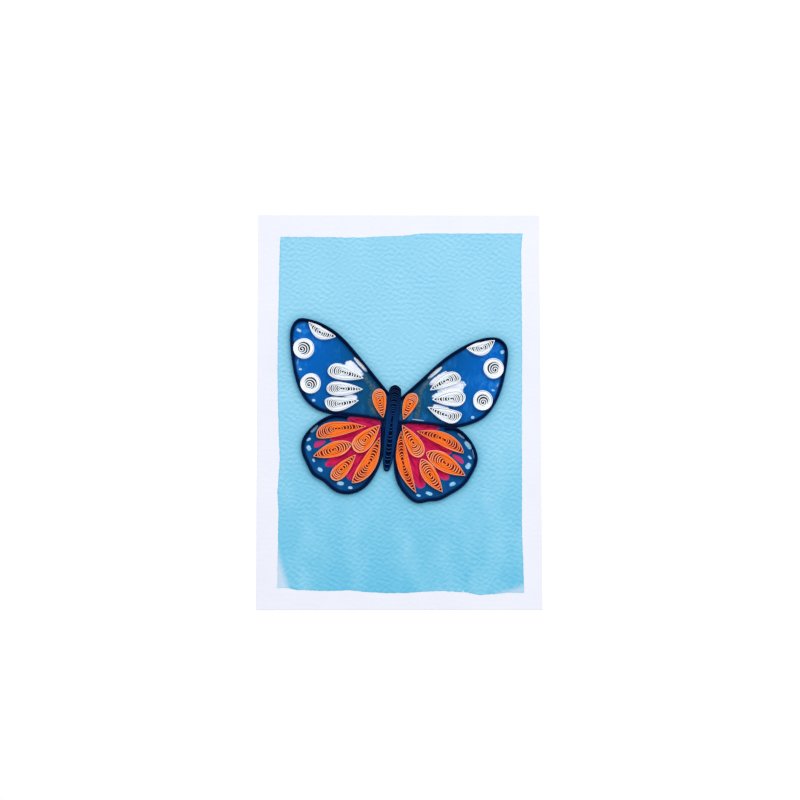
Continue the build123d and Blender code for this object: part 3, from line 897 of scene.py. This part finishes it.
# Height of the dark film inside each coil: painted shade in the gaps between its turns.
shade_film_rise = 0.12
sunk_turn = 0.35
uneven = 0.16
head_shade = 0.85
head_shade_fade = 18
# Each round coil: its middle, its diameter and the angle at which its turns stand furthest apart.
round_coils = {
    "white_round_upper_left": ((-42.7, 27.7), 9.3, 25),
    "white_round_lower_left": ((-39.6, 11.9), 9.1, 50),
    "white_round_upper_right": ((42.2, 18.6), 9.1, 140),
    "white_round_lower_right": ((37.3, 4.2), 8.9, 100),
}
# Each pinched coil: its heel, its tip, its half widths left and right, and both ends' pinches.
pinched_coils = {
    "white_leaf_left": ((-40.5, 39.4), (-28.4, 32.9), 1.0, 4.3, sharp, sharp),
    "white_drop_upper_left": ((-31.9, 17.6), (-16.0, 14.2), 4.3, 2.8, plain, sharp),
    "white_drop_middle_left": ((-32.4, 9.5), (-16.3, 9.2), 3.3, 3.1, plain, sharp),
    "white_drop_lower_left": ((-33.2, 3.8), (-18.1, 4.1), 1.9, 4.6, plain, sharp),
    "orange_drop_left": ((-9.3, 9.3), (-7.2, -3.6), 2.9, 3.3, plain, sharp),
    "white_leaf_right": ((30.3, 27.6), (43.0, 31.2), 1.2, 4.9, sharp, sharp),
    "white_drop_upper_right": ((27.5, 14.5), (13.8, 8.9), 2.0, 4.3, plain, sharp),
    "white_drop_middle_right": ((29.6, 5.8), (14.7, 4.6), 4.0, 3.0, plain, sharp),
    "white_drop_lower_right": ((27.9, -2.2), (12.7, 1.1), 5.1, 1.2, plain, sharp),
    "orange_drop_right": ((7.2, 7.1), (1.8, -4.5), 2.6, 3.3, plain, sharp),
    "petal_1_left": ((-36.8, -12.1), (-14.8, -7.5), 5.1, 1.7, plain, sharp),
    "petal_2_left": ((-21.2, -15.3), (-38.3, -20.9), 3.5, 3.3, soft, sharp),
    "petal_3_left": ((-19.9, -18.4), (-8.6, -6.9), 4.1, 3.8, plain, sharp),
    "petal_4_left": ((-29.9, -31.1), (-19.4, -20.2), 3.0, 3.2, plain, sharp),
    "petal_5_left": ((-21.0, -32.8), (-8.6, -12.5), 1.6, 5.2, soft, sharp),
    "petal_1_right": ((28.6, -19.5), (7.9, -9.7), 1.2, 4.8, soft, sharp),
    "petal_2_right": ((12.1, -19.2), (29.4, -29.6), 4.2, 3.6, soft, sharp),
    "petal_3_right": ((9.8, -21.0), (1.3, -6.9), 3.6, 3.6, plain, sharp),
    "petal_4_right": ((9.9, -22.2), (19.2, -36.9), 2.8, 3.9, soft, sharp),
    "petal_5_right": ((7.4, -37.2), (0.8, -9.8), 5.3, 0.4, sharp, sharp),
}


def make_coil(
    name, heel, tip, left, right, heel_pinch, tip_pinch, eye_share, eye_half, wall, swell, turns,
    packed_sides, packed_heel, nose_width, drift, round_head, frayed,
):
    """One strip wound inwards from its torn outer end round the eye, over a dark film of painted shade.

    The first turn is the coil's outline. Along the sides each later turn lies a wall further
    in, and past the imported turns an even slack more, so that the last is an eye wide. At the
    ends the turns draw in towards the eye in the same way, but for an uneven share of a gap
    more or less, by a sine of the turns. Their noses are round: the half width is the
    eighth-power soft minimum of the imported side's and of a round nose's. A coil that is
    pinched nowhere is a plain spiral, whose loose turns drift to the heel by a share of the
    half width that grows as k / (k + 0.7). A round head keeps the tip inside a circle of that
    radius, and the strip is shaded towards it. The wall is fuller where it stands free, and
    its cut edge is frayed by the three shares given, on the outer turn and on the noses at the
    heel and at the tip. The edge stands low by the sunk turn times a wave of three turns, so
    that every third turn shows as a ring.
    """
    heel, tip = np.array(heel, float), np.array(tip, float)
    reach = np.hypot(*(tip - heel)) - wall * (0.5 + tip_pinch)
    half_width = (left + right - wall) / 2
    bow = (left - right) / 2
    eye = eye_share * reach
    slack = (half_width - eye_half - wall * (1 + turns)) / (turns - packed_sides)
    turned = np.arange(round((1 + turns) * coil_facets) + 1) / coil_facets
    closing = np.clip((turned - outline_end) / (1 - outline_end), 0, 1)
    laid = np.maximum(turned - 1, 0)
    loose = np.maximum(laid - packed_sides, 0)
    offset = wall * (closing + laid) + slack * loose
    width = half_width - offset
    fading = np.clip(turns - laid, 0, 1)
    near_heel = uneven * np.sin(3.7 * turned + heel[1]) * np.clip(laid - packed_heel, 0, 1) * fading
    near_tip = uneven * np.sin(2.6 * turned + heel[0]) * np.clip(laid, 0, 1) * fading
    if tip_pinch == plain:
        heel_end = eye * (1 - width / half_width)
        tip_end = eye + (reach - eye) * width / half_width + slack * near_tip * np.clip(loose, 0, 1)
    else:
        heel_gap = end_gap if heel_pinch > plain else 0.0
        tip_gap = end_gap if tip_pinch > plain else 0.0
        heel_slack = (eye_reach * eye - heel_gap - wall * (1 + turns)) / (turns - packed_heel)
        tip_slack = (eye_reach * (reach - eye) - tip_gap - wall * (1 + turns)) / turns
        heel_end = wall * (closing + laid) + heel_gap * closing
        heel_end += heel_slack * (np.maximum(laid - packed_heel, 0) + near_heel)
        tip_end = reach - wall * (closing + laid) - tip_gap * closing - tip_slack * (laid + near_tip)
    softened = np.clip(closing + laid, 0, 1)
    heel_now = heel_pinch + (plain - heel_pinch) * softened
    tip_now = tip_pinch + (plain - tip_pinch) * softened
    angle = np.pi / 2 + 2 * np.pi * turned
    share = side_share(angle, heel_now, tip_now)
    along = heel_end + share * (tip_end - heel_end)
    side = side_profile(along / reach, heel_pinch, tip_pinch)
    if round_head:
        side = np.minimum(side, rounded_head(reach - along, round_head))
    nose = np.maximum(width * side_profile(share, heel_now, tip_now), 0.001)
    pressed = np.maximum(half_width * side - offset, 0.02)
    if tip_pinch == plain:
        height = nose
    else:
        height = ((nose_width * nose) ** -8 + pressed ** -8) ** (-1 / 8)
    height = np.where(turned < outline_end, half_width * side, height)
    across = bow * side + height * np.where(np.sin(angle) > 0, 1, -1)
    along = along + wall / 2 - drift * half_width * loose / (loose + 0.7)
    path = on_card(np.column_stack([along, across]), heel, tip)
    apart = np.clip((pressed - nose_width * nose) / 0.3, 0, 1)
    free = np.maximum(apart, np.clip(loose, 0, 1) * min(slack / wall, 1))
    sway = np.sin(turned * 2.3 + heel[0]) + np.sin(turned * 5.9 + heel[1])
    thickness = wall * (1 + swell * free) * np.clip(turned / torn_end, 0.15, 1)
    top = strip_top - 0.04 + 0.008 * sway - 0.05 * laid / turns
    top -= sunk_turn * (0.5 - 0.5 * np.cos(2 * np.pi * turned / 3))
    strip = strip_mesh(path, thickness, wing_face - strip_sunk, top, coil_chamfer)
    # A dark film inside the outer turn, as painted shade in the gaps between the turns.
    shade_film = make_patch(
        path[:coil_facets], path[:coil_facets].mean(axis=0), np.ones(1),
        lambda x, y, share: np.full_like(x, wing_face + shade_film_rise), wing_face - strip_sunk,
    )
    noses = apart * (frayed[1] + (frayed[2] - frayed[1]) * share)
    edges = np.maximum(frayed[0] * np.clip(1.4 - turned, 0, 1), noses)
    shaded = head_shade * np.clip(1 - (reach - along) / head_shade_fade, 0, 1) * (round_head > 0)
    # Per point: frayed edges; painted shade on the inner turns' faces, full on the film; painted shade
    # of the film and towards the body's head.
    edges, inner_turn_shade, shaded = (
        np.append(np.repeat(on_strip, 6), np.full(len(shade_film[0]), on_film))
        for on_strip, on_film in ((edges, 0.0), (np.clip(turned - 0.9, 0, 1), 1.0), (shaded, 1.0))
    )
    return make_mesh(name, *join_shells([strip, shade_film]), apart=edges, inner=inner_turn_shade, dark=shaded)


white_strip = strip_material(
    "white_quilling_paper", "#E8EEF8", "#A4B2C6", "#3E4A60", "#EEF5FD", "#F6FBFF",
)
orange_strip = strip_material(
    "orange_quilling_paper", "#F8640C", "#F04A1C", "#C02C22", "#FC7C2C", "#FFB896",
)
for name, (middle, diameter, lean) in round_coils.items():
    half = diameter / 2
    spoke = half * np.array([np.cos(np.radians(lean)), np.sin(np.radians(lean))])
    coil = make_coil(
        f"{name}_coil", np.array(middle) - spoke, np.array(middle) + spoke, half, half, plain, plain,
        eye_share=0.5, eye_half=0.35, wall=0.3, swell=0.4, turns=7.0, packed_sides=4.2, packed_heel=0.0,
        nose_width=1.0, drift=0.28, round_head=0.0, frayed=(1.0, 1.0, 1.0),
    )
    finish_piece(coil, white_strip, "white_strip", name)
for name, (heel, tip, left, right, heel_pinch, tip_pinch) in pinched_coils.items():
    eye_share = float(side_share(np.pi / 2, heel_pinch, tip_pinch))
    if name.startswith("white"):
        fill, swell, pitch, material, slot = 0.72, 0.3, 1.4, white_strip, "white_strip"
    else:
        fill, swell, pitch, material, slot = 0.55, 0.75, 1.5, orange_strip, "orange_strip"
    turns = max((1 - eye_share) * np.hypot(*np.subtract(tip, heel)) / pitch, 6.0)
    wall = fill * (left + right) / 2 / (1 + turns)
    coil = make_coil(
        f"{name}_coil", heel, tip, left, right, heel_pinch, tip_pinch,
        eye_share=eye_share, eye_half=0.35, wall=wall, swell=swell, turns=turns, packed_sides=3.0,
        packed_heel=0.0, nose_width=1.5, drift=0.0, round_head=0.0, frayed=(1.0, 0.5, 0.5),
    )
    finish_piece(coil, material, slot, name)

# Body: a coil of navy strip, wound tight and pressed long, round at the head and tapering to
# the tail, with its eye between the wings.
body_strip = strip_material(
    "navy_body_quilling_paper", "#03102F", "#031030", "#051436", "#06346C", "#205496",
)
body = make_coil(
    "body_coil", body_heel, body_tip, body_left, body_right, body_heel_pinch, body_tip_pinch,
    eye_share=0.62, eye_half=0.35, wall=0.16, swell=0.9, turns=13.0, packed_sides=8.0,
    packed_heel=1.0, nose_width=2.5, drift=0.0, round_head=head_radius, frayed=(0.0, 0.7, 1.0),
)
finish_piece(body, body_strip, "navy_strip", "body_roll")

# Stage: a white table, a large soft lamp beyond the top of the card, and the photograph's view
# from almost straight above, worked out from the card's four corners.
table_paint, shader, place = matt("white_table", 0.9, 0.2)
shader.inputs["Base Color"].default_value = linear("#FFFFFF")
table_mesh = bpy.data.meshes.new("table")
table_half = 3.0
corners = [(x * table_half, y * table_half, 0) for x, y in ((-1, -1), (1, -1), (1, 1), (-1, 1))]
table_mesh.from_pydata(corners, [], [(0, 1, 2, 3)])
table_mesh.materials.append(table_paint)
table = bpy.data.objects.new("table", table_mesh)
bpy.context.scene.collection.objects.link(table)

lamp_data = bpy.data.lights.new("softbox", "AREA")
lamp_data.shape = "RECTANGLE"
lamp_data.size = 1.2
lamp_data.size_y = 1.0
lamp_data.energy = 14.4
lamp = bpy.data.objects.new("softbox", lamp_data)
lamp.location = (0.16, 0.30, 1.3)
lamp.rotation_euler = (-lamp.location).to_track_quat("-Z", "Y").to_euler()
bpy.context.scene.collection.objects.link(lamp)

world = bpy.data.worlds.new("studio")
world.use_nodes = True
studio_light = world.node_tree.nodes["Background"].inputs
studio_light["Color"].default_value = linear("#FFFFFF")
studio_light["Strength"].default_value = 0.46
bpy.context.scene.world = world
bpy.context.scene.view_settings.view_transform = "Standard"

camera_place = Vector((-13.42, -125.81, 1066.70)) * mm
camera_axes = Matrix((
    (0.99991725, -0.00137599, 0.01279061),
    (-0.00018780, 0.99259592, 0.12146316),
    (-0.01286303, -0.12145551, 0.99251353),
)).transposed()
camera_data = bpy.data.cameras.new("camera")
camera_data.lens = 108.0
camera_data.sensor_width = 36.0
camera = bpy.data.objects.new("camera", camera_data)
camera.matrix_world = Matrix.Translation(camera_place) @ camera_axes.to_4x4()
bpy.context.scene.collection.objects.link(camera)
bpy.context.scene.camera = camera
